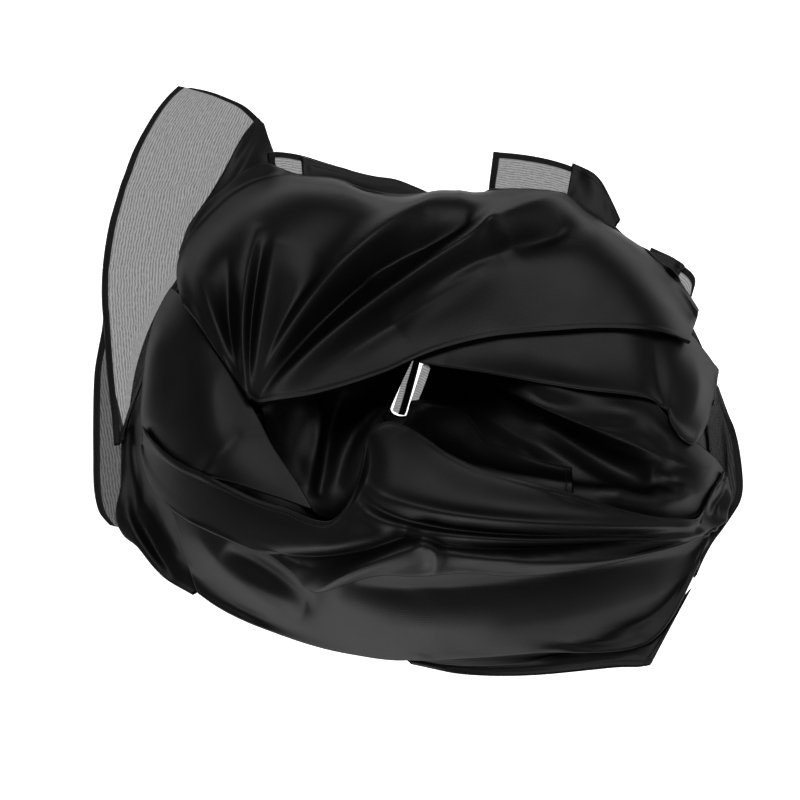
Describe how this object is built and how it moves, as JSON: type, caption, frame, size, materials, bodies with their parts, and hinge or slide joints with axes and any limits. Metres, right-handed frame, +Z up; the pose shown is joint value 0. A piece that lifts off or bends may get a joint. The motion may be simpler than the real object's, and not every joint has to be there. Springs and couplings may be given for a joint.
{
  "type": "silk scarf",
  "caption": "Thin black silk scarf with narrow stitched hems, heaped in a loose ring with an open middle and loose corners.",
  "frame": {"origin": "middle of the heap's plan, on the surface that it lies on", "axes": "+Z up, -Y towards the front of the heap, +X to its right as seen from the front"},
  "size_m": [0.4482, 0.4805, 0.0881],
  "materials": {
    "satin": "black silk satin with a soft sheen",
    "sheer": "single layer of black silk, light passes between its threads"
  },
  "bodies": {
    "root": {"inner_layers": "satin", "floor_layer_left": "sheer", "floor_layer_right": "sheer", "edge_left": "satin", "corner_back_left": "sheer", "corner_back_left_fold": "satin", "corner_back_right": "sheer", "loop_right": "sheer", "back_strip": "sheer", "outer_right": "sheer", "front_skirt": "satin", "inner_left": "satin", "inner_right": "satin", "inner_hem_layer": "satin", "left_band": "satin", "front_body": "satin", "front_band": "satin", "right_lobe": "satin", "back_band": "satin"}
  },
  "joints": []
}
